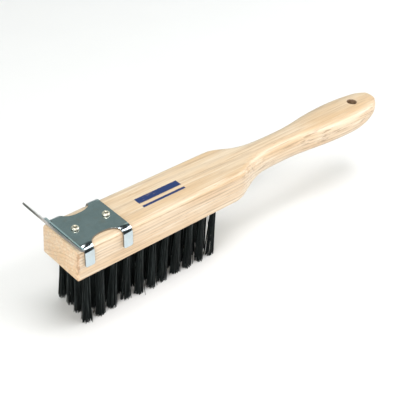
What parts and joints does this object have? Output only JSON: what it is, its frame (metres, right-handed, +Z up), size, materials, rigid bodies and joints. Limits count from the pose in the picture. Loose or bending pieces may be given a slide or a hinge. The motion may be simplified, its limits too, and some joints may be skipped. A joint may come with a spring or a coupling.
{
  "type": "wire brush",
  "caption": "Hand wire brush with a wooden block and shaped handle, rows of steel wire tufts and a bent sheet-steel scraper on the toe.",
  "frame": {"origin": "centre of the bounding box in plan, on the plane of the tufts' tips", "axes": "+X along the brush towards the handle's tip, +Y across it, +Z up from the tufts to the block's top"},
  "size_m": [0.2812, 0.0362, 0.0852],
  "materials": {
    "hardwood": "bare open-grained ash or oak with a thin satin seal",
    "zinc_steel": "zinc-plated sheet steel, smooth, with bright cut edges",
    "brass": "pale brass-plated nail",
    "steel_wire": "black oil-tempered steel wire"
  },
  "bodies": {
    "root": {"handle_block": "hardwood", "scraper": "zinc_steel", "nail_1": "brass", "nail_2": "brass", "tuft_r01_c1": "steel_wire", "tuft_r01_c2": "steel_wire", "tuft_r01_c3": "steel_wire", "tuft_r01_c4": "steel_wire", "tuft_r02_c1": "steel_wire", "tuft_r02_c2": "steel_wire", "tuft_r02_c3": "steel_wire", "tuft_r02_c4": "steel_wire", "tuft_r03_c1": "steel_wire", "tuft_r03_c2": "steel_wire", "tuft_r03_c3": "steel_wire", "tuft_r03_c4": "steel_wire", "tuft_r04_c1": "steel_wire", "tuft_r04_c2": "steel_wire", "tuft_r04_c3": "steel_wire", "tuft_r04_c4": "steel_wire", "tuft_r05_c1": "steel_wire", "tuft_r05_c2": "steel_wire", "tuft_r05_c3": "steel_wire", "tuft_r05_c4": "steel_wire", "tuft_r06_c1": "steel_wire", "tuft_r06_c2": "steel_wire", "tuft_r06_c3": "steel_wire", "tuft_r06_c4": "steel_wire", "tuft_r07_c1": "steel_wire", "tuft_r07_c2": "steel_wire", "tuft_r07_c3": "steel_wire", "tuft_r07_c4": "steel_wire", "tuft_r08_c1": "steel_wire", "tuft_r08_c2": "steel_wire", "tuft_r08_c3": "steel_wire", "tuft_r08_c4": "steel_wire", "tuft_r09_c1": "steel_wire", "tuft_r09_c2": "steel_wire", "tuft_r09_c3": "steel_wire", "tuft_r09_c4": "steel_wire", "tuft_r10_c1": "steel_wire", "tuft_r10_c2": "steel_wire", "tuft_r10_c3": "steel_wire", "tuft_r10_c4": "steel_wire", "tuft_r11_c1": "steel_wire", "tuft_r11_c2": "steel_wire", "tuft_r11_c3": "steel_wire", "tuft_r11_c4": "steel_wire"}
  },
  "joints": []
}
